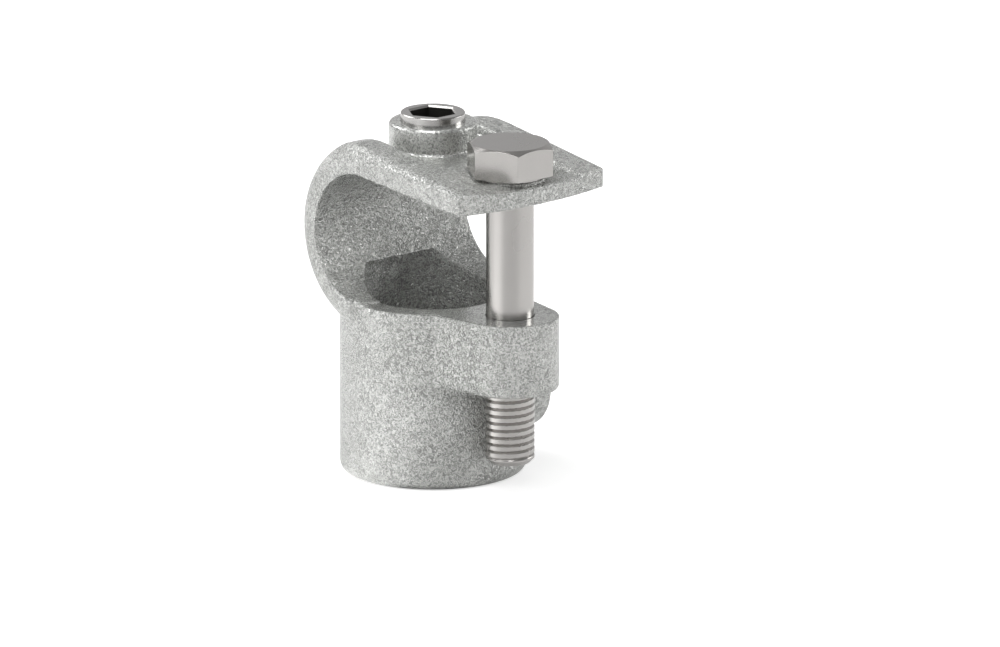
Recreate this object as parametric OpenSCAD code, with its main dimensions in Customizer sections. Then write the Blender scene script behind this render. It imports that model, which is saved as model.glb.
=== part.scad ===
// Clamp-on tube tee: a cast collar that hooks round a rail, with a socket below it for a
// post. A hex bolt closes the strap over the rail and two grub screws lock the two tubes.
// The rail axis is X, the post axis is Z and both meet at the origin. The open side is -Y.
// Units are millimetres.

/* [Tube] */
// Outside diameter of the rail and the post that the fitting takes
tube_d = 26.9; // [25.4:0.1:28.4]
// Gap all round between the rail and its bore once the strap is closed
rail_gap = 0.1; // [0.05:0.01:0.2]
// Gap all round between the post and its bore
post_gap = 0.4; // [0.2:0.05:0.5]

/* [Collar] */
// Wall of the collar over the rail bore, at its two ribs
collar_wall = 6.55; // [5.8:0.05:7.2]
// Length of the collar along the rail
collar_len = 40; // [38.6:0.1:42]
// Rounding of the collar's two outer rims
collar_lip = 5; // [3.5:0.1:5.6]
// Rounding of the collar's two lower corners beside the socket
collar_corner = 3; // [1.5:0.1:4]

/* [Socket] */
// Wall of the post socket
socket_wall = 5.15; // [4.5:0.05:5.8]
// Length of the post socket below its top face
socket_len = 37; // [34:0.5:44]
// Height left between the rail bore and the socket's top face
socket_top_gap = 0.45; // [0.3:0.05:0.8]
// Rounding of the socket's lower rim
socket_foot_round = 1.8; // [0.8:0.1:2.6]

/* [Strap] */
// Reach of the strap from the post axis to the middle of its front edge
strap_reach = 33.2; // [32.2:0.1:36]
// How far the front edge bows out between its corners
strap_bow = 2.2; // [1:0.1:3]
// Width of the strap between its front corners
strap_front_w = 38.2; // [36:0.1:38.4]
// Thickness of the strap at its front corners, up to the plane of the ribs
strap_tip = 4.35; // [3.9:0.05:5]
// How far the underside starts below the crown of the rail bore
strap_sink = 0.02; // [0.01:0.01:0.03]
// Slope of the underside in degrees
strap_under_slope = 4.76; // [4.4:0.01:5]
// Slope of the two side ribs in degrees
rib_slope = 7; // [6.2:0.1:7.6]
// Rounding of each rib's outer edge along the strap
rib_round = 2.5; // [1.5:0.1:3]
// Rounding where the ribs go over into the collar
crest_round = 16; // [12:0.5:16.5]

/* [Channel] */
// Width of the channel between the two side ribs
channel_w = 23.4; // [21:0.1:24.4]
// Slope of the channel floor in degrees
floor_slope = 4.23; // [3.8:0.01:4.6]
// Metal between the rail bore and the channel floor
floor_wall = 3.35; // [3:0.05:3.6]

/* [Screw bosses] */
// Diameter of both screw bosses
boss_d = 18; // [17:0.1:20]
// Height of the rail boss over the channel floor on the post axis
rail_boss_rise = 5; // [4:0.1:7]
// Reach of the post boss past the socket wall
post_boss_rise = 5.2; // [4:0.1:8]
// Depth of the post screw's axis below the socket's top face
post_screw_depth = 23; // [20:0.5:26]
// Concave rounding at the foot of the rail boss
boss_foot_round = 0.8; // [0.4:0.1:1.5]
// Bevel on the outer edge of each boss
boss_bevel = 0.45; // [0.2:0.05:0.8]

/* [Set screws] */
// Thread diameter of the set screws
screw_d = 13.157; // [12.5:0.001:14]
// Length of a set screw
screw_len = 9.8; // [8.5:0.1:10.5]
// How far the rail screw stands out of its boss
rail_screw_out = 1.85; // [1:0.05:3]
// Bevel on each end of a set screw
screw_bevel = 0.45; // [0.2:0.05:0.8]
// Width across the flats of the hexagon socket
screw_hex = 8.6; // [7:0.1:9.2]
// Depth of the hexagon socket
screw_hex_depth = 6; // [4:0.5:7]
// Gap all round between a set screw and its hole
screw_gap = 0.05; // [0.03:0.01:0.1]
// Gap between the tip of the post screw and the post bore
post_screw_back = 0.5; // [0.3:0.1:1]

/* [Ear] */
// Distance from the post axis to the bolt axis
bolt_reach = 24.3; // [23.6:0.1:26]
// Radius of the ear round the bolt
ear_r = 10; // [9:0.1:11]
// Half width of the ear where it meets the socket
ear_root = 11.6; // [11:0.1:13]
// Height of the ear
ear_h = 15.2; // [12:0.1:18]
// Rounding of the ear's lower edge
ear_round = 0.9; // [0.4:0.1:1.4]

/* [Bolt] */
// Nominal diameter of the bolt
bolt_d = 10; // [9:0.1:11]
// Length of the bolt under its head
bolt_len = 60; // [52:0.5:66]
// Diameter of the plain shank
shank_d = 9.7; // [8.6:0.1:9.9]
// Length of the bolt's threaded end
thread_len = 26; // [20:0.5:30]
// Bevel at the tip of the bolt
tip_bevel = 1; // [0.5:0.1:1.5]
// Width of the head across the flats
head_af = 16; // [15:0.1:18]
// Height of the head
head_h = 6.4; // [5.8:0.1:7.5]
// Diameter of the round face under the head
face_d = 14.6; // [13.5:0.1:15]
// Thickness of the round face under the head
face_h = 0.5; // [0.3:0.05:0.8]
// Diameter of the bevelled circle on top of the head
crown_d = 15.2; // [14:0.1:15.8]
// Angle of the head's bevel in degrees
crown_angle = 30; // [20:1:35]
// Height of the bolt's seat over the strap's underside at the bolt
seat_h = 3.78; // [3.4:0.02:4.6]
// Gap all round between the head and the seat's recess
seat_gap = 0.4; // [0.2:0.1:0.8]
// Gap all round between the bolt and its hole in the strap
strap_hole_gap = 0.5; // [0.3:0.05:0.8]
// Gap all round between the bolt and its tapped hole in the ear
tap_gap = 0.05; // [0.03:0.01:0.1]

/* [Hidden] */
$fn = 96;
far = 90;

// Sizes of the casting that follow from those above
rail_r = tube_d / 2 + rail_gap;
post_r = tube_d / 2 + post_gap;
collar_r = rail_r + collar_wall;
half_w = collar_len / 2;
socket_r = post_r + socket_wall;
socket_top = -(rail_r + socket_top_gap);
socket_bottom = socket_top - socket_len;
front_half_w = strap_front_w / 2;
corner_y = strap_reach - strap_bow;
bow_r = (front_half_w * front_half_w + strap_bow * strap_bow) / (2 * strap_bow);
under_z0 = rail_r - strap_sink;
under_tan = tan(strap_under_slope);
rib_tan = tan(rib_slope);
rib_z0 = under_z0 - under_tan * corner_y + strap_tip + rib_tan * corner_y;
rib_d = rib_z0 * cos(rib_slope);
floor_r = rail_r + floor_wall;
floor_z0 = floor_r / cos(floor_slope);
floor_tan = tan(floor_slope);
rail_boss_top = floor_z0 + rail_boss_rise;
post_screw_z = socket_top - post_screw_depth;
post_boss_end = socket_r + post_boss_rise;
seat_z = under_z0 - under_tan * bolt_reach + seat_h;
ear_bottom = socket_top - ear_h;
screw_hole_r = screw_d / 2 + screw_gap;
head_corner_r = head_af / sqrt(3);

// Where one cut runs on into the next they overlap by the lap, and the second is shallower by
// the step, so that their faces cross and never only touch
seam_step = 0.01;
seam_lap = 1.2;

// Extra height of the socket and the ear before they are cut off level
top_spare = 1;

// Crest arc between the plane of the ribs and the round back of the collar
crest_r = crest_round + seam_step;
crest_d = collar_r + seam_step - crest_round;
crest_a = acos((rib_d - crest_round) / crest_d) - rib_slope;

// Angle round the rail, from the crown over the back, at which the channel is inside the socket
channel_end = 140;

// Wall of the collar seen along the rail's length: X across, Y outward from the rail axis
module collar_section() {
    x = half_w - collar_lip;
    y = collar_r - collar_lip;
    polygon([
        [-half_w, 0],
        [half_w, 0],
        [half_w, y],
        [x, collar_r],
        [-x, collar_r],
        [-half_w, y]
    ]);
    for (s = [-1, 1])
        translate([s * x, y])
            circle(r = collar_lip);
}

// Turns a flat outline round the rail axis, from angle a0 to a1 off the crown over the back
module round_rail(a0, a1) {
    rotate([0, -90, 0])
        rotate([0, 0, a0])
            rotate_extrude(angle = a1 - a0)
                rotate(-90)
                    children();
}

// Half ring of the collar, from the crown over the back to below the rail
module collar_ring() {
    difference() {
        round_rail(0, 180)
            collar_section();
        for (s = [0, 1])
            mirror([s, 0, 0])
                collar_corner_cut();
    }
}

// Waste outside the rounding of one lower corner of the ring
module collar_corner_cut() {
    r = collar_corner;
    translate([0, 0, -far])
        linear_extrude(height = far)
            difference() {
                translate([half_w - r, -1])
                    square([r + 1, r + 1]);
                translate([half_w - r, r])
                    circle(r = r);
            }
}

// The same wall run forward from the crown as the strap
module strap_bar() {
    rotate([90, 0, 0])
        linear_extrude(height = strap_reach + 4)
            collar_section();
}

// Waste beside the strap, which narrows to the front
module strap_side_cut() {
    slope = (half_w - front_half_w) / corner_y;
    translate([0, 0, -far])
        linear_extrude(height = 2 * far)
            polygon([
                [half_w, 0],
                [half_w - slope * far, -far],
                [half_w + far, -far],
                [half_w + far, 0]
            ]);
}

// Runs a flat outline along the plane of the ribs, forward from the crest arc. In the outline X
// is across and Y is the height over the ribs.
module along_plane() {
    rotate([rib_slope, 0, 0])
        rotate([90, 0, 0])
            translate([0, rib_d, -crest_d * sin(crest_a + rib_slope) - seam_lap])
                linear_extrude(height = far)
                    children();
}

// Waste over the crest arc, from the plane of the ribs to the round back
module over_crest() {
    translate([0, crest_d * sin(crest_a), crest_d * cos(crest_a)])
        round_rail(-rib_slope, crest_a)
            translate([-far, crest_r])
                square([2 * far, far]);
}

// Waste outside the rounding of the ribs' outer edges
module rib_edge_outline() {
    x = half_w - rib_round;
    for (s = [0, 1])
        mirror([s, 0])
            difference() {
                translate([x, -rib_round])
                    square([far, rib_round + 1]);
                translate([x, -rib_round])
                    circle(r = rib_round);
            }
}

// Space over the channel floor, flat along the strap and round the rail behind the crown
module floor_space() {
    rotate([floor_slope, 0, 0])
        translate([-half_w, -far, floor_r])
            cube([collar_len, far + seam_lap, far]);
    round_rail(-floor_slope, channel_end)
        translate([-half_w, floor_r + seam_step])
            square([collar_len, far]);
}

// Channel between the ribs
module channel_cut() {
    intersection() {
        floor_space();
        translate([-channel_w / 2, -far, -far])
            cube([channel_w, 2 * far, 2 * far]);
    }
}

// Outside of the strap and collar, before the bores
module hook_outer() {
    difference() {
        union() {
            collar_ring();
            strap_bar();
        }
        for (s = [0, 1])
            mirror([s, 0, 0])
                strap_side_cut();
        along_plane()
            translate([-far, 0])
                square([2 * far, far]);
        over_crest();
        along_plane()
            rib_edge_outline();
        channel_cut();
    }
}

// Bowed front edge of the strap
module bow_limit() {
    translate([0, bow_r - strap_reach, -far])
        cylinder(r = bow_r, h = 2 * far, $fn = 180);
}

// Space under the strap, open to the front
module under_cut() {
    translate([0, 0, under_z0])
        rotate([strap_under_slope, 0, 0])
            translate([-far, -far, -far])
                cube([2 * far, far, far]);
}

// Post socket and ear, cut off level at the socket's top face
module socket_outer() {
    difference() {
        union() {
            socket_wall_body();
            ear();
        }
        translate([-far, -far, socket_top])
            cube([2 * far, 2 * far, far]);
    }
}

// Outside of the socket with its rounded lower rim
module socket_wall_body() {
    r = socket_foot_round;
    h = socket_len + top_spare;
    translate([0, 0, socket_bottom])
        rotate_extrude() {
            square([socket_r - r, h]);
            translate([0, r])
                square([socket_r, h - r]);
            translate([socket_r - r, r])
                circle(r = r);
        }
}

// Back of the socket, carried up between the ribs until it fades into the channel floor
module socket_back() {
    intersection() {
        translate([0, 0, socket_top - 1]) {
            cylinder(r = socket_r, h = rail_r - 2);
            translate([0, 0, rail_r - 2])
                cylinder(r1 = socket_r, r2 = rail_r + 1, h = 8);
        }
        translate([-far, 0, -far])
            cube([2 * far, far, 2 * far]);
    }
}

// Half section of the ear through the bolt, with its rounded lower edge, from x0 outward
module ear_section(x0) {
    r = ear_round;
    h = ear_h + 2 * top_spare;
    translate([x0, 0])
        square([ear_r - r - x0, h]);
    translate([x0, r])
        square([ear_r - x0, h - r]);
    translate([ear_r - r, r])
        circle(r = r);
}

// Ear that the bolt screws into: a round nose and two flanks that spread to the socket
module ear() {
    root_y = sqrt(socket_r * socket_r - ear_root * ear_root);
    spread = atan2(ear_root - ear_r, bolt_reach - root_y);
    flank_len = bolt_reach - socket_r / 2;
    translate([0, -bolt_reach, ear_bottom]) {
        rotate_extrude()
            ear_section(0);
        for (s = [0, 1])
            mirror([s, 0, 0])
                rotate(-spread)
                    rotate([90, 0, 0])
                        translate([-seam_step, 0, -flank_len])
                            linear_extrude(height = flank_len)
                                ear_section(-ear_r / 2);
    }
}

// Boss with a bevelled mouth, along +Z from the origin
module boss(h) {
    cylinder(d = boss_d, h = h - boss_bevel);
    translate([0, 0, h - boss_bevel])
        cylinder(r1 = boss_d / 2, r2 = boss_d / 2 - boss_bevel, h = boss_bevel);
}

// Rail boss on the channel floor, with a concave foot
module rail_boss() {
    foot_z = floor_z0 - floor_tan * (boss_d / 2);
    r = boss_foot_round;
    translate([0, 0, rail_r])
        boss(rail_boss_top - rail_r);
    translate([0, 0, foot_z - 2])
        rotate_extrude()
            difference() {
                square([boss_d / 2 + r, r + 2]);
                translate([boss_d / 2 + r, r + 2])
                    circle(r = r);
            }
}

// Post boss on the side of the socket
module post_boss() {
    translate([post_r, 0, post_screw_z])
        rotate([0, 90, 0])
            boss(post_boss_end - post_r);
}

// Seat under the bolt's head, proud of the floor at the front and sunk into it at the back
module seat_pad() {
    translate([0, -bolt_reach, seat_z - seat_h + 0.5])
        cylinder(r = face_d / 2 + 0.2, h = seat_h - 0.5);
}

module seat_recess() {
    translate([0, -bolt_reach, seat_z])
        cylinder(r = head_corner_r + seat_gap, h = far);
}

// Bores for the rail and the post
module rail_bore() {
    rotate([0, 90, 0])
        translate([0, 0, -far])
            cylinder(r = rail_r, h = 2 * far);
}

module post_bore() {
    translate([0, 0, socket_bottom - 1])
        cylinder(r = post_r, h = socket_len + 1 + rail_r * 0.4);
}

module casting() {
    color("silver")
        difference() {
            union() {
                difference() {
                    intersection() {
                        hook_outer();
                        bow_limit();
                    }
                    under_cut();
                }
                socket_outer();
                socket_back();
                rail_boss();
                post_boss();
                seat_pad();
            }
            rail_bore();
            post_bore();
            seat_recess();
            // holes for the set screws
            translate([0, 0, rail_r - 2])
                cylinder(r = screw_hole_r, h = far);
            translate([post_r - 2, 0, post_screw_z])
                rotate([0, 90, 0])
                    cylinder(r = screw_hole_r, h = far);
            // holes for the bolt
            translate([0, -bolt_reach, 0])
                cylinder(r = bolt_d / 2 + strap_hole_gap, h = far);
            translate([0, -bolt_reach, -far])
                cylinder(r = bolt_d / 2 + tap_gap, h = far);
        }
}

// Set screw with its tip at the origin and its socket up
module set_screw() {
    b = screw_bevel;
    r = screw_d / 2;
    difference() {
        rotate_extrude()
            polygon([
                [0, 0],
                [r - b, 0],
                [r, b],
                [r, screw_len - b],
                [r - b, screw_len],
                [0, screw_len]
            ]);
        translate([0, 0, screw_len - screw_hex_depth])
            cylinder(r = screw_hex / sqrt(3), h = screw_hex_depth + 1, $fn = 6);
    }
}

module rail_set_screw() {
    color("dimgray")
        translate([0, 0, rail_boss_top + rail_screw_out - screw_len])
            set_screw();
}

module post_set_screw() {
    color("dimgray")
        translate([post_r + post_screw_back, 0, post_screw_z])
            rotate([0, 90, 0])
                set_screw();
}

module clamp_bolt() {
    r = bolt_d / 2;
    color("gray")
        translate([0, -bolt_reach, seat_z]) {
            rotate_extrude()
                polygon([
                    [0, -bolt_len],
                    [r - tip_bevel, -bolt_len],
                    [r, tip_bevel - bolt_len],
                    [r, thread_len - bolt_len],
                    [shank_d / 2, thread_len - bolt_len + (r - shank_d / 2)],
                    [shank_d / 2, 0],
                    [face_d / 2, 0],
                    [face_d / 2, face_h],
                    [0, face_h]
                ]);
            // hexagon, its top corners turned away by a shallow cone
            intersection() {
                translate([0, 0, face_h])
                    cylinder(r = head_corner_r, h = head_h, $fn = 6);
                union() {
                    cone_h = (head_corner_r + 1 - crown_d / 2) * tan(crown_angle);
                    translate([0, 0, face_h + head_h - cone_h])
                        cylinder(r1 = head_corner_r + 1, r2 = crown_d / 2, h = cone_h);
                    cylinder(r = head_corner_r + 1, h = face_h + head_h - cone_h);
                }
            }
        }
}

casting();
clamp_bolt();
rail_set_screw();
post_set_screw();
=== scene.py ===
# Clamp-on tee fitting: a galvanised casting with its hex bolt and two grub screws.
# Metres in the CAD frame: the rail axis is X, the post axis is Z, the open side is -Y.
import math

import bmesh
import bpy
from mathutils import Matrix, Vector


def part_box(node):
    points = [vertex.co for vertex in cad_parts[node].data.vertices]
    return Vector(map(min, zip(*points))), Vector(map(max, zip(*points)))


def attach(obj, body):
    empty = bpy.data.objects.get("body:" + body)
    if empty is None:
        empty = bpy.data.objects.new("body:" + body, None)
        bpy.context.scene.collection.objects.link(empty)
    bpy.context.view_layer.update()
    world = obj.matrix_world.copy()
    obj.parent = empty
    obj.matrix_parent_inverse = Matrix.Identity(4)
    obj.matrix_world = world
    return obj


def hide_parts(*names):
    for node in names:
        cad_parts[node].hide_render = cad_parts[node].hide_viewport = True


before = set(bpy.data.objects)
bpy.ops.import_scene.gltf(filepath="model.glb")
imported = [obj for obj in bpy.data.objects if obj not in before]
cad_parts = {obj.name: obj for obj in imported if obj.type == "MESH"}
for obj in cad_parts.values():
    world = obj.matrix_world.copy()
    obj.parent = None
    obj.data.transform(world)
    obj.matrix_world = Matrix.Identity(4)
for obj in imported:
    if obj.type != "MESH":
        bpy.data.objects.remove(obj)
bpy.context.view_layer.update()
MM = 0.001

# Sizes that repeat part.scad, in millimetres
SOCKET_TOP = -14.0
SOCKET_BOTTOM = -51.0
CHANNEL_HALF = 11.7
BOLT_Y = -24.3
BOLT_LEN = 60.0
BOLT_R = 5.0
SHANK_R = 4.85
THREAD_LEN = 26.0
TIP_BEVEL = 1.0
HEAD_AF = 16.0
HEAD_H = 6.4
FACE_R = 7.3
FACE_H = 0.5
CROWN_R = 7.6
CROWN_ANGLE = 30.0
SCREW_R = 6.5785
SCREW_LEN = 9.8
SCREW_HEX_AF = 8.6
SCREW_HEX_DEPTH = 6.0

# Bolt's own details, in millimetres: its thread, the lengths over which the thread fades at
# the tip and at the shank, the step to the plain shank, the fillet under the head, the tip, and
# the rings inside its flat ends
BOLT_PITCH = 1.5
BOLT_GROOVE = 0.55
TIP_FADE = 1.2
SHANK_FADE = 2.5
SHANK_STEP = 0.15
SHANK_FILLET = 0.3
TIP_R = 4.0
TIP_EDGE = 0.25
TIP_RING_R = 2.6
HEAD_RING_R = 3.0

# Grub screws' own details, in millimetres: thread, cup at the tip, plain rim and socket
SCREW_PITCH = 1.337
SCREW_GROOVE = 0.75
SCREW_FADE = 1.0
SCREW_PLAIN = 2.3
SCREW_BEVEL = 0.22
SCREW_MOUTH = 0.4
CUP_R = 5.0
CUP_FLOOR_R = 3.0
CUP_DEPTH = 0.6
CONE_R = 2.5
CONE_DEPTH = 0.6

# Meshes of the turned pieces. A multiple of 12 points round puts points on the corners of
# hexagons. A groove slopes in from below and from above over these shares of the pitch.
ROUND = 96
ROWS_PER_TURN = 24
GROOVE_LOW = 0.3
GROOVE_HIGH = 0.13

# Edges of the turned pieces: the angle in degrees that counts as sharp, the soft edge in
# millimetres and its segments, and the margin in millimetres for telling places apart
SHARP_ANGLE = 28.0
EDGE_WIDTH = 0.08
EDGE_SEGMENTS = 2
SMALL = 0.05

# Skin of the casting: how near in metres points count as one, depth and scale of the remesh,
# passes and strength of its smoothing, share of faces kept, and the sharpest angle in degrees
# that is shaded smooth
WELD = 1e-7
SKIN_DEPTH = 8
SKIN_SCALE = 0.95
SKIN_SMOOTHING = 7
SKIN_BLENDING = 40
SKIN_RIBS = 25
SKIN_STRENGTH = 0.5
SKIN_KEPT = 0.39
SKIN_SHARP_ANGLE = 50.0

# Machined places on the casting, in millimetres: where the mouths of the tapped holes and the
# faced ends of the bosses begin, how far round a hole its mouth reaches, how far off the
# socket's top the ear's mouth and the faced flat reach, and how square to it a flat has to be
RAIL_MOUTH = 20.5
RAIL_END = 21.5
POST_MOUTH = 22.8
POST_END = 23.8
MOUTH_MARGIN = 0.9
EAR_MOUTH = 2.0
FACED_LIFT = 0.2
FACED_NORMAL = 0.97

# Places on the casting that flow together more softly, in millimetres: the ribs' inner sides,
# the ear's root on the socket (x, y) and the corner between socket and collar (x, y, z), on
# either side of the post axis
RIB_REACH = 2.2
RIB_LOW = 12.0
RIB_BACK = 16.0
EAR_ROOT = (11.4, -15.2)
EAR_ROOT_REACH = 2.6
EAR_ROOT_TOP = -12.0
EAR_ROOT_LOW = -30.0
EAR_ROOT_FADE = 6.0
COLLAR_CORNER = (18.9, 0.3, -14.8)
COLLAR_CORNER_REACH = 4.2
BLEND_GAIN = 2.5

# Zinc that has pooled round the rail boss, in millimetres: how far round it and how far down,
# the margin kept from the ribs, and how far its faces may turn downward
POOL_R = 15.0
POOL_LOW = 13.5
POOL_MARGIN = 0.1
POOL_NORMAL = -0.3

# Zinc: scales of its noises and the span of each that counts, the lines that the grain draws
# and how they tint it, and its colours
GRAIN_SCALE = 1200.0
FLECK_SCALE = 2600.0
FLECK_SPAN = (0.35, 0.65)
CLOUD_SCALE = 90.0
CLOUD_SPAN = (0.3, 0.7)
LINE_LEVEL = 0.53
LINE_HALF = 0.11
LINE_TINT = 1.45
GROUND_TINT = 0.62
ZINC_DARK = (0.51, 0.517, 0.497, 1)
ZINC_LIGHT = (0.61, 0.617, 0.597, 1)
ZINC_METALLIC = 0.7

# Steel: its grain, whose height is in millimetres, the haze that varies its roughness, and the
# colour and roughness of each piece
STEEL_GRAIN_SCALE = 2600.0
STEEL_GRAIN_HEIGHT = 0.01
STEEL_GRAIN_STRENGTH = 0.25
HAZE_SCALE = 120.0
HAZE_SPAN = (0.3, 0.7)
HAZE_STEP = 0.04
BOLT_COLOUR = (0.49, 0.475, 0.46, 1)
BOLT_ROUGHNESS = 0.25
SCREW_COLOUR = (0.50, 0.49, 0.48, 1)
SCREW_ROUGHNESS = 0.24

# Painted shade in the hexagon sockets: near-black colours that stand in for the shade deep inside
# them
SOCKET_SHADE_SCALE = 700.0
SOCKET_SHADE_DARK = (0.010, 0.010, 0.009, 1)
SOCKET_SHADE_LIGHT = (0.022, 0.021, 0.019, 1)
SOCKET_SHADE_ROUGHNESS = 0.55
SOCKET_SHADE_SPECULAR = 0.2

# Photograph: its width in pixels, its scale, the middle of its frame in millimetres, and the
# direction of the view in degrees, round from the front and up
IMAGE_W = 1000.0
PX_PER_MM = 4.926
CENTRE_RIGHT = 13.6
CENTRE_UP = -20.08
VIEW_AZIMUTH = -40.0
VIEW_ELEVATION = 15.0

# Camera: its lens and sensor in millimetres, and how far it sees in metres
LENS = 800.0
SENSOR = 36.0
CLIP_END = 50.0

# Floor: its radius in metres, its colour, and how strongly it glows for the camera
FLOOR_R = 6.0
FLOOR_SIDES = 64
FLOOR_COLOUR = (0.8, 0.8, 0.8, 1)
FLOOR_GLOW = 0.62

# Glow of the floor that metal mirrors: none in front of the object, and more on its left, most
# of all close by. Directions are degrees from +X, and a spread is the cosine of the angle from
# a direction at which the fade towards it begins. Near and far are in metres.
SIDE_GLOW = 0.27
FRONT_GLOW = 0.0
FRONT_DIRECTION = VIEW_AZIMUTH - 90
FRONT_SPREAD = 0.5
LEFT_GLOW = 0.68
LEFT_DIRECTION = 176.0
LEFT_SPREAD = 0.8
LEFT_NEAR = 0.12
LEFT_FAR = 0.2
LEFT_FAR_SHARE = 0.3

# Room: strength of its light behind and in front of the object, the upward part of the
# direction along which it changes, and where along that it changes
ROOM_BACK = 0.52
ROOM_FRONT = 0.22
ROOM_UPWARD = -0.35
ROOM_CHANGE = (-0.4, 0.7)

# Distance of each lamp from the origin, in metres
SOFTBOX_DISTANCE = 1.4


def link(name, mesh):
    """A new object in the scene that holds the mesh."""
    piece = bpy.data.objects.new(name, mesh)
    bpy.context.scene.collection.objects.link(piece)
    return piece


def evaluated_mesh(piece):
    """The piece's mesh with its modifiers applied."""
    graph = bpy.context.evaluated_depsgraph_get()
    return bpy.data.meshes.new_from_object(piece.evaluated_get(graph)).copy()


def mesh_of(form, name):
    """A mesh from a bmesh, which is freed."""
    mesh = bpy.data.meshes.new(name)
    form.to_mesh(mesh)
    form.free()
    return mesh


def direction(azimuth, elevation):
    """Unit vector in a direction given in degrees from +X and above the floor."""
    az, el = math.radians(azimuth), math.radians(elevation)
    return Vector((math.cos(el) * math.cos(az), math.cos(el) * math.sin(az), math.sin(el)))


# Materials

class Nodes:
    """Adds nodes to a node tree and joins them."""

    def __init__(self, tree):
        self.tree = tree

    def add(self, kind, **settings):
        """A new node with some of its options and inputs set, in the order given. An option
        comes before the inputs that it brings."""
        node = self.tree.nodes.new(kind)
        for key, value in settings.items():
            if key in node.inputs:
                node.inputs[key].default_value = value
            else:
                setattr(node, key, value)
        return node

    def join(self, output, target):
        """Joins an output to an input."""
        self.tree.links.new(output, target)

    def noise(self, scale, detail, **settings):
        """Noise in the object's coordinates."""
        where = self.add("ShaderNodeTexCoord").outputs["Object"]
        node = self.add("ShaderNodeTexNoise", Scale=scale, Detail=detail, **settings)
        self.join(where, node.inputs["Vector"])
        return node.outputs["Fac"]

    def ranged(self, value, start, end, kind="LINEAR"):
        """The value moved from one range into another."""
        node = self.add("ShaderNodeMapRange", interpolation_type=kind)
        names = ("From Min", "From Max", "To Min", "To Max")
        for name, number in zip(names, start + end):
            node.inputs[name].default_value = number
        self.join(value, node.inputs["Value"])
        return node.outputs["Result"]

    def calc(self, operation, *values):
        """The result of an operation on outputs and plain numbers."""
        node = self.add("ShaderNodeMath", operation=operation)
        for socket, value in zip(node.inputs, values):
            if isinstance(value, bpy.types.NodeSocket):
                self.join(value, socket)
            else:
                socket.default_value = value
        return node.outputs[0]

    def along(self, vector, other):
        """How far a vector reaches along another one."""
        node = self.add("ShaderNodeVectorMath", operation="DOT_PRODUCT")
        node.inputs[1].default_value = other
        self.join(vector, node.inputs[0])
        return node.outputs["Value"]


def new_material(name):
    """A material, the helper that adds its nodes, and its Principled shader."""
    material = bpy.data.materials.new(name)
    material.use_nodes = True
    tree = material.node_tree
    return material, Nodes(tree), tree.nodes["Principled BSDF"]


def galvanised(name, grain_height, gloss_low, gloss_high):
    """Zinc over a cast skin: a fine wormy grain, uneven gloss and cloudy tone. The height of
    the grain is in millimetres, and the gloss runs between two roughnesses."""
    material, nodes, shader = new_material(name)
    grain = nodes.noise(GRAIN_SCALE, 2.0, Roughness=0.5, Distortion=2.0)
    cloud = nodes.noise(CLOUD_SCALE, 3.0, Roughness=0.6)
    fleck = nodes.noise(FLECK_SCALE, 1.0, Roughness=0.5)

    colour = nodes.add("ShaderNodeMix", data_type="RGBA", A=ZINC_DARK, B=ZINC_LIGHT)
    nodes.join(nodes.ranged(cloud, CLOUD_SPAN, (0.0, 1.0)), colour.inputs["Factor"])
    off_line = nodes.calc("ABSOLUTE", nodes.calc("SUBTRACT", grain, LINE_LEVEL))
    tint = nodes.ranged(off_line, (0.0, LINE_HALF), (LINE_TINT, GROUND_TINT))
    tinted = nodes.add("ShaderNodeMix", data_type="RGBA", blend_type="MULTIPLY", Factor=1.0)
    nodes.join(colour.outputs["Result"], tinted.inputs["A"])
    nodes.join(tint, tinted.inputs["B"])
    nodes.join(tinted.outputs["Result"], shader.inputs["Base Color"])

    gloss = nodes.ranged(fleck, FLECK_SPAN, (gloss_low, gloss_high))
    nodes.join(gloss, shader.inputs["Roughness"])
    bump = nodes.add("ShaderNodeBump", Strength=1.0, Distance=grain_height * MM)
    nodes.join(grain, bump.inputs["Height"])
    nodes.join(bump.outputs["Normal"], shader.inputs["Normal"])
    shader.inputs["Metallic"].default_value = ZINC_METALLIC
    return material


def satin_steel(name, colour, roughness):
    """Plated steel with a fine grain and slightly uneven gloss."""
    material, nodes, shader = new_material(name)
    grain = nodes.noise(STEEL_GRAIN_SCALE, 2.0, Roughness=0.5)
    haze = nodes.noise(HAZE_SCALE, 2.0, Roughness=0.5)
    gloss = nodes.ranged(haze, HAZE_SPAN, (roughness - HAZE_STEP, roughness + HAZE_STEP))
    nodes.join(gloss, shader.inputs["Roughness"])
    bump = nodes.add(
        "ShaderNodeBump", Strength=STEEL_GRAIN_STRENGTH, Distance=STEEL_GRAIN_HEIGHT * MM
    )
    nodes.join(grain, bump.inputs["Height"])
    nodes.join(bump.outputs["Normal"], shader.inputs["Normal"])
    shader.inputs["Base Color"].default_value = colour
    shader.inputs["Metallic"].default_value = 1.0
    return material


def painted_socket_shade():
    """Painted shade inside a hexagon socket: a near-black colour that stands in for the shade
    there.
    """
    material, nodes, shader = new_material("painted_socket_shade")
    tone = nodes.add("ShaderNodeValToRGB")
    tone.color_ramp.elements[0].color = SOCKET_SHADE_DARK
    tone.color_ramp.elements[1].color = SOCKET_SHADE_LIGHT
    nodes.join(nodes.noise(SOCKET_SHADE_SCALE, 2.0), tone.inputs["Fac"])
    nodes.join(tone.outputs["Color"], shader.inputs["Base Color"])
    shader.inputs["Roughness"].default_value = SOCKET_SHADE_ROUGHNESS
    shader.inputs["Specular IOR Level"].default_value = SOCKET_SHADE_SPECULAR
    return material


# Turned pieces

def hex_radius(across_flats, angle):
    """Distance from the axis to a hexagon whose corners lie at 0, 60, 120 degrees and so on."""
    off = (angle + math.pi / 6) % (math.pi / 3) - math.pi / 6
    half = math.pi / 6 - abs(off)
    return across_flats / 2 / math.cos(half)


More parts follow.
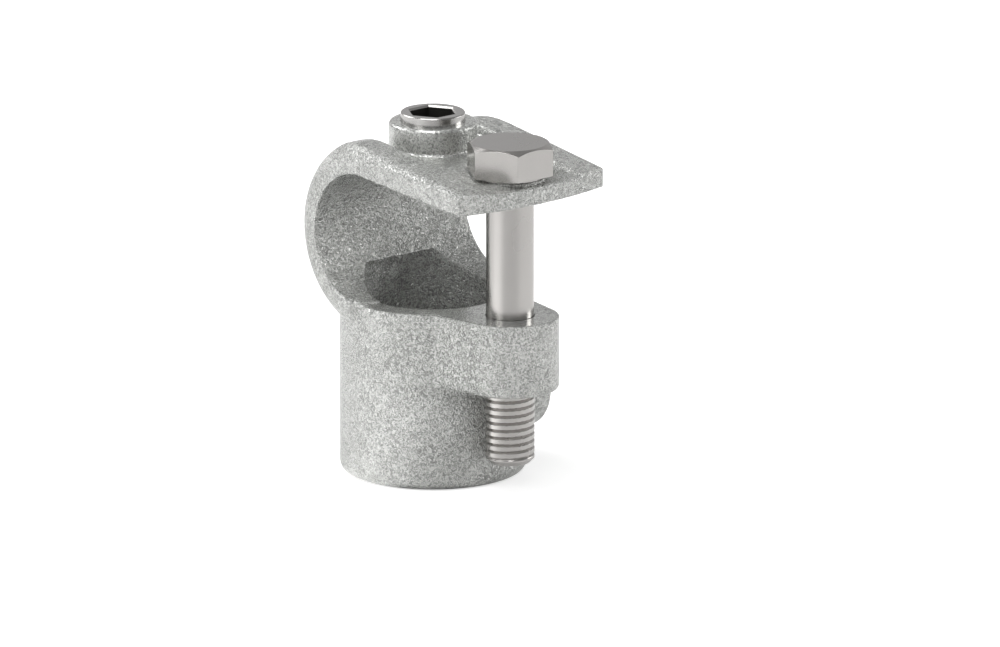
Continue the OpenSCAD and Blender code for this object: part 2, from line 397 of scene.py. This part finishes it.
def turned_form(rows):
    """A closed bmesh through rows of (radius, height) functions of the angle, ends closed."""
    form = bmesh.new()
    rings = []
    for radius, height in rows:
        ring = []
        for i in range(ROUND):
            angle = 2 * math.pi * i / ROUND
            r = radius(angle)
            ring.append(form.verts.new((
                r * math.cos(angle) * MM,
                r * math.sin(angle) * MM,
                height(angle) * MM,
            )))
        rings.append(ring)
    for low, high in zip(rings, rings[1:]):
        for i in range(ROUND):
            j = (i + 1) % ROUND
            form.faces.new((low[i], low[j], high[j], high[i]))
    form.faces.new(rings[0][::-1])
    form.faces.new(rings[-1])
    bmesh.ops.recalc_face_normals(form, faces=form.faces)
    return form


def turned_mesh(name, rows, thread_low, thread_high):
    """The mesh of a turned piece. Its sharp edges are marked, and those outside the thread,
    which runs between two heights, are marked for a bevel too."""
    form = turned_form(rows)
    bevel = form.edges.layers.float.new("bevel_weight_edge")
    for face in form.faces:
        face.smooth = True
    for edge in form.edges:
        if edge.calc_face_angle(0.0) > math.radians(SHARP_ANGLE):
            edge.smooth = False
            low, high = sorted(vertex.co.z / MM for vertex in edge.verts)
            edge[bevel] = 0.0 if low >= thread_low and high <= thread_high else 1.0
    return mesh_of(form, name)


def plain(r, z):
    """A round row at one height."""
    return (lambda a: r), (lambda a: z)


def thread_rows(r, pitch, depth, z0, z1, fade_low, fade_high):
    """Rows of a screw thread from z0 up to z1, its groove fading out over the given lengths."""
    count = int(round((z1 - z0) / pitch * ROWS_PER_TURN))
    rows = []
    for k in range(count + 1):
        z = z0 + (z1 - z0) * k / count
        fade = min(1.0, (z - z0) / fade_low, (z1 - z) / fade_high)

        def radius(angle, z=z, fade=fade):
            off = (z / pitch - angle / (2 * math.pi)) % 1.0 - 0.5
            side = -off / GROOVE_LOW if off < 0 else off / GROOVE_HIGH
            return r - depth * fade * max(0.0, 1.0 - side)

        rows.append((radius, lambda a, z=z: z))
    return rows


def bolt_mesh():
    """Hex bolt, its seat at height 0 and its tip down."""
    top = FACE_H + HEAD_H
    tip = -BOLT_LEN
    shank = tip + THREAD_LEN
    slope = math.tan(math.radians(CROWN_ANGLE))
    hexagon = (lambda a: hex_radius(HEAD_AF, a))
    crown = (lambda a: top - (hexagon(a) - CROWN_R) * slope)
    rows = [plain(TIP_RING_R, tip), plain(TIP_R, tip), plain(TIP_R + TIP_EDGE, tip + TIP_EDGE)]
    rows += thread_rows(
        BOLT_R, BOLT_PITCH, BOLT_GROOVE, tip + TIP_BEVEL, shank, TIP_FADE, SHANK_FADE
    )
    rows += [plain(SHANK_R, shank + SHANK_STEP), plain(SHANK_R, -SHANK_FILLET)]
    rows += [plain(SHANK_R + SHANK_FILLET, 0), plain(FACE_R, 0), plain(FACE_R, FACE_H)]
    rows += [(hexagon, (lambda a: FACE_H)), (hexagon, crown)]
    rows += [plain(CROWN_R, top), plain(HEAD_RING_R, top)]
    return turned_mesh("hex_bolt", rows, tip + TIP_BEVEL / 2, shank + SHANK_STEP + SMALL)


def grub_mesh(name):
    """Grub screw, its tip at height 0 and its hexagon socket up."""
    b = SCREW_BEVEL
    top = SCREW_LEN
    rim = top - SCREW_PLAIN
    floor = top - SCREW_HEX_DEPTH
    hexagon = (lambda a: hex_radius(SCREW_HEX_AF, a))
    rows = [plain(CUP_FLOOR_R, CUP_DEPTH), plain(CUP_R, 0.0), plain(SCREW_R - b, 0.0)]
    rows += thread_rows(SCREW_R, SCREW_PITCH, SCREW_GROOVE, b, rim, SCREW_FADE, SCREW_FADE)
    rows += [plain(SCREW_R, top - b), plain(SCREW_R - b, top)]
    rows += [((lambda a: hexagon(a) + SCREW_MOUTH), (lambda a: top))]
    rows += [(hexagon, (lambda a: top - SCREW_MOUTH)), (hexagon, (lambda a: floor))]
    rows += [plain(CONE_R, floor - CONE_DEPTH)]
    return turned_mesh(name, rows, b / 2, rim)


def paint_socket_shade(mesh):
    """Puts the painted shade, material 1, on the faces inside a grub screw's hexagon socket. The
    mesh still has its tip at height 0."""
    reach = (SCREW_HEX_AF / math.sqrt(3) + SMALL) * MM
    low = (SCREW_LEN - SCREW_HEX_DEPTH - CONE_DEPTH - SMALL) * MM
    high = (SCREW_LEN - SCREW_MOUTH) * MM
    for face in mesh.polygons:
        c = face.center
        if low < c.z < high and math.hypot(c.x, c.y) < reach:
            face.material_index = 1


def finished(piece, node):
    """Gives a turned piece its soft edges and lets it stand for its node."""
    edges = piece.modifiers.new("soft_edges", "BEVEL")
    edges.width = EDGE_WIDTH * MM
    edges.segments = EDGE_SEGMENTS
    edges.limit_method = "WEIGHT"
    edges.harden_normals = True
    piece.data = evaluated_mesh(piece)
    piece.modifiers.clear()
    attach(piece, "root")
    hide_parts(node)


def grub_screw(name, node, place, steel, painted_shade):
    """A grub screw of steel, with painted shade in its socket, moved from the origin to its
    place.
    """
    piece = link(name, grub_mesh(name))
    piece.data.materials.append(steel)
    piece.data.materials.append(painted_shade)
    paint_socket_shade(piece.data)
    piece.data.transform(place)
    finished(piece, node)


bolt = link("hex_bolt", bolt_mesh())
bolt.data.materials.append(satin_steel("bolt_steel", BOLT_COLOUR, BOLT_ROUGHNESS))
seat_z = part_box("clamp_bolt")[1][2] - (FACE_H + HEAD_H) * MM
bolt.data.transform(Matrix.Translation((0, BOLT_Y * MM, seat_z)))
finished(bolt, "clamp_bolt")

screw_steel = satin_steel("screw_steel", SCREW_COLOUR, SCREW_ROUGHNESS)
# Painted shade for the screws' hexagon sockets: a near-black colour where the recess is in shade
screw_socket_shade = painted_socket_shade()
rail_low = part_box("rail_set_screw")[0]
rail_place = Matrix.Translation((0, 0, rail_low[2]))
grub_screw("rail_grub_screw", "rail_set_screw", rail_place, screw_steel, screw_socket_shade)

post_low, post_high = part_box("post_set_screw")
quarter_turn = Matrix.Rotation(math.pi / 2, 4, "Y")
post_place = Matrix.Translation((post_low[0], 0, (post_low[2] + post_high[2]) / 2)) @ quarter_turn
grub_screw("post_grub_screw", "post_set_screw", post_place, screw_steel, screw_socket_shade)


# Casting: the CAD form with the softened edges of a sand casting

# Height of the post screw's axis, in millimetres
post_screw_z = post_low[2] / MM + SCREW_R


def falling(distance, reach):
    """1 at no distance, falling evenly to 0 at the reach."""
    return max(0.0, 1.0 - distance / reach)


def is_machined(p):
    """Is this point of the casting on the tapped or drilled mouth of a screw's hole?"""
    screw_reach = SCREW_R + MOUTH_MARGIN
    bolt_reach = BOLT_R + MOUTH_MARGIN
    rail_mouth = p.z > RAIL_MOUTH and math.hypot(p.x, p.y) < screw_reach
    post_mouth = p.x > POST_MOUTH and math.hypot(p.y, p.z - post_screw_z) < screw_reach
    at_ear_top = abs(p.z - SOCKET_TOP) < EAR_MOUTH
    bolt_mouth = at_ear_top and math.hypot(p.x, p.y - BOLT_Y) < bolt_reach
    return rail_mouth or post_mouth or bolt_mouth


def is_faced(p, normal):
    """Is this point on a flat that is cut smooth: the socket's top or a boss's end?"""
    socket_top = normal.z > FACED_NORMAL and abs(p.z - SOCKET_TOP) < FACED_LIFT
    rail_end = normal.z > FACED_NORMAL and p.z > RAIL_END
    post_end = normal.x > FACED_NORMAL and p.x > POST_END
    return socket_top or rail_end or post_end


def is_pooled(p, normal):
    """Is this point on the rail boss, its foot or the channel round it, where zinc pools?"""
    in_channel = abs(p.x) < CHANNEL_HALF - POOL_MARGIN and p.z > POOL_LOW
    return in_channel and normal.z > POOL_NORMAL and math.hypot(p.x, p.y) < POOL_R


def rib_weight(p):
    """The inner side of the two ribs, which runs softly into the channel."""
    if p.z <= RIB_LOW or p.y >= RIB_BACK:
        return 0.0
    return falling(abs(abs(p.x) - CHANNEL_HALF), RIB_REACH)


def blend_weight(p):
    """Where the sand casting flows together: beside the ear, and from socket to collar."""
    x = abs(p.x)
    root = falling(math.hypot(x - EAR_ROOT[0], p.y - EAR_ROOT[1]), EAR_ROOT_REACH)
    if p.z >= EAR_ROOT_TOP:
        root = 0.0
    root *= min(1.0, max(0.0, (p.z - EAR_ROOT_LOW) / EAR_ROOT_FADE))
    off_corner = (Vector((x, p.y, p.z)) - Vector(COLLAR_CORNER)).length
    return min(1.0, BLEND_GAIN * max(root, falling(off_corner, COLLAR_CORNER_REACH)))


def weighted(piece, name, weight):
    """A vertex group on the piece whose weights are a function of the place in millimetres."""
    group = piece.vertex_groups.new(name=name)
    for vertex in piece.data.vertices:
        value = weight(vertex.co / MM)
        if value > 0:
            group.add([vertex.index], value, "REPLACE")
    return group.name


def smoothed(piece, passes, group):
    """Adds passes of smoothing to the piece, as strong as the vertex group says."""
    soft = piece.modifiers.new("soft", "SMOOTH")
    soft.factor = SKIN_STRENGTH
    soft.iterations = passes
    soft.vertex_group = group


def cast_skin():
    """The casting's skin: remeshed evenly, its edges softened, its faces thinned out."""
    form = bmesh.new()
    form.from_mesh(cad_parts["casting"].data)
    bmesh.ops.remove_doubles(form, verts=form.verts, dist=WELD)
    piece = link("cast_body", mesh_of(form, "cast_body"))
    skin = piece.modifiers.new("skin", "REMESH")
    skin.mode = "SHARP"
    skin.octree_depth = SKIN_DEPTH
    skin.scale = SKIN_SCALE
    skin.use_remove_disconnected = False
    piece.data = evaluated_mesh(piece)
    piece.modifiers.clear()
    sand = weighted(piece, "sand", lambda p: 0.0 if is_machined(p) else 1.0)
    blend = weighted(piece, "blend", blend_weight)
    ribs = weighted(piece, "ribs", rib_weight)
    smoothed(piece, SKIN_SMOOTHING, sand)
    smoothed(piece, SKIN_BLENDING, blend)
    smoothed(piece, SKIN_RIBS, ribs)
    fewer = piece.modifiers.new("fewer", "DECIMATE")
    fewer.ratio = SKIN_KEPT
    piece.data = evaluated_mesh(piece)
    piece.modifiers.clear()
    piece.vertex_groups.clear()
    piece.data.shade_smooth()
    piece.data.set_sharp_from_angle(angle=math.radians(SKIN_SHARP_ANGLE))
    return piece


def surface_of(p, normal):
    """Which of the casting's materials a place has: 0 as cast, 1 faced, 2 pooled."""
    if is_faced(p, normal):
        return 1
    return 2 if is_pooled(p, normal) else 0


cast_body = cast_skin()
surfaces = cast_body.data.materials
surfaces.clear()
surfaces.append(galvanised("galvanised_casting", 0.45, gloss_low=0.09, gloss_high=0.16))
surfaces.append(galvanised("galvanised_faced", 0.03, gloss_low=0.10, gloss_high=0.14))
surfaces.append(galvanised("galvanised_pooled", 0.14, gloss_low=0.06, gloss_high=0.11))
for face in cast_body.data.polygons:
    face.material_index = surface_of(face.center / MM, face.normal)
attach(cast_body, "root")
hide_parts("casting")


# Stage: a pale floor under the socket, which the camera sees as white

def mirrored_glow(nodes):
    """The glow of the floor that metal mirrors: it fades from place to place on the floor."""
    where = nodes.add("ShaderNodeTexCoord").outputs["Object"]
    outward = nodes.add("ShaderNodeVectorMath", operation="NORMALIZE")
    nodes.join(where, outward.inputs[0])
    distance = nodes.add("ShaderNodeVectorMath", operation="LENGTH")
    nodes.join(where, distance.inputs[0])

    def towards(azimuth, spread, low, high):
        """Fades from one value to the other towards a direction on the floor."""
        along = nodes.along(outward.outputs[0], direction(azimuth, 0))
        return nodes.ranged(along, (spread, 1.0), (low, high), "SMOOTHSTEP")

    close = nodes.ranged(
        distance.outputs["Value"], (LEFT_NEAR, LEFT_FAR), (1.0, LEFT_FAR_SHARE), "SMOOTHSTEP"
    )
    front = towards(FRONT_DIRECTION, FRONT_SPREAD, SIDE_GLOW, FRONT_GLOW)
    left = towards(LEFT_DIRECTION, LEFT_SPREAD, 0.0, LEFT_GLOW)
    return nodes.calc("ADD", front, nodes.calc("MULTIPLY", left, close))


def floor_material():
    """Pale and matt. It glows white for the camera, and less for what mirrors it."""
    material, nodes, shader = new_material("studio_floor")
    tree = material.node_tree
    tree.nodes.remove(shader)
    rays = nodes.add("ShaderNodeLightPath").outputs
    seen = nodes.calc("MAXIMUM", rays["Is Camera Ray"], rays["Is Transmission Ray"])
    mirrored = nodes.calc("MULTIPLY", rays["Is Glossy Ray"], mirrored_glow(nodes))
    level = nodes.calc("ADD", nodes.calc("MULTIPLY", seen, FLOOR_GLOW), mirrored)
    glow = nodes.add("ShaderNodeEmission")
    nodes.join(level, glow.inputs["Strength"])
    matt = nodes.add("ShaderNodeBsdfDiffuse", Color=FLOOR_COLOUR)
    both = nodes.add("ShaderNodeAddShader")
    nodes.join(matt.outputs[0], both.inputs[0])
    nodes.join(glow.outputs[0], both.inputs[1])
    nodes.join(both.outputs[0], tree.nodes["Material Output"].inputs["Surface"])
    return material


def studio_floor():
    """A round floor under the socket."""
    form = bmesh.new()
    bmesh.ops.create_circle(form, cap_ends=True, segments=FLOOR_SIDES, radius=FLOOR_R)
    floor = link("studio_floor", mesh_of(form, "studio_floor"))
    floor.location.z = SOCKET_BOTTOM * MM
    floor.data.materials.append(floor_material())


def studio_world():
    """A pale room that is lighter behind the object than in front of it and overhead."""
    world = bpy.data.worlds.new("studio")
    world.use_nodes = True
    nodes = Nodes(world.node_tree)
    where = nodes.add("ShaderNodeTexCoord").outputs["Generated"]
    x, y, _ = direction(VIEW_AZIMUTH + 90, 0)
    behind = nodes.along(where, (x, y, ROOM_UPWARD))
    light = world.node_tree.nodes["Background"]
    level = nodes.ranged(behind, ROOM_CHANGE, (ROOM_FRONT, ROOM_BACK), "SMOOTHSTEP")
    nodes.join(level, light.inputs["Strength"])
    light.inputs["Color"].default_value = (1, 1, 1, 1)
    return world


def softbox(name, azimuth, elevation, width, height, radiance):
    """An oblong lamp that faces the object from a direction in degrees, its sides in metres."""
    lamp = bpy.data.lights.new(name, "AREA")
    lamp.shape = "RECTANGLE"
    lamp.size = width
    lamp.size_y = height
    lamp.energy = radiance * math.pi * width * height
    stand = link(name, lamp)
    away = direction(azimuth, elevation)
    stand.location = away * SOFTBOX_DISTANCE
    stand.rotation_euler = away.to_track_quat("Z", "Y").to_euler()


studio_floor()
bpy.context.scene.world = studio_world()
softbox("back_softbox", azimuth=112, elevation=36, width=0.9, height=0.75, radiance=3.8)
softbox("left_softbox", azimuth=178, elevation=26, width=0.8, height=0.6, radiance=2.2)
softbox("right_softbox", azimuth=-24, elevation=14, width=0.6, height=0.5, radiance=4.0)
softbox("top_softbox", azimuth=190, elevation=76, width=0.8, height=0.7, radiance=4.5)
softbox("front_softbox", azimuth=232, elevation=40, width=0.5, height=0.3, radiance=6.0)


def photo_camera():
    """A camera with a very long lens, because the photograph has no perspective."""
    right = direction(VIEW_AZIMUTH, 0)
    toward = direction(VIEW_AZIMUTH - 90, VIEW_ELEVATION)
    up = toward.cross(right)
    lens = bpy.data.cameras.new("camera")
    lens.lens = LENS
    lens.sensor_width = SENSOR
    lens.clip_end = CLIP_END
    camera = link("camera", lens)
    target = (right * CENTRE_RIGHT + up * CENTRE_UP) * MM
    camera.location = target + toward * (LENS / SENSOR * IMAGE_W / PX_PER_MM * MM)
    camera.rotation_euler = toward.to_track_quat("Z", "Y").to_euler()
    return camera


bpy.context.scene.camera = photo_camera()
bpy.context.scene.view_settings.view_transform = "Standard"
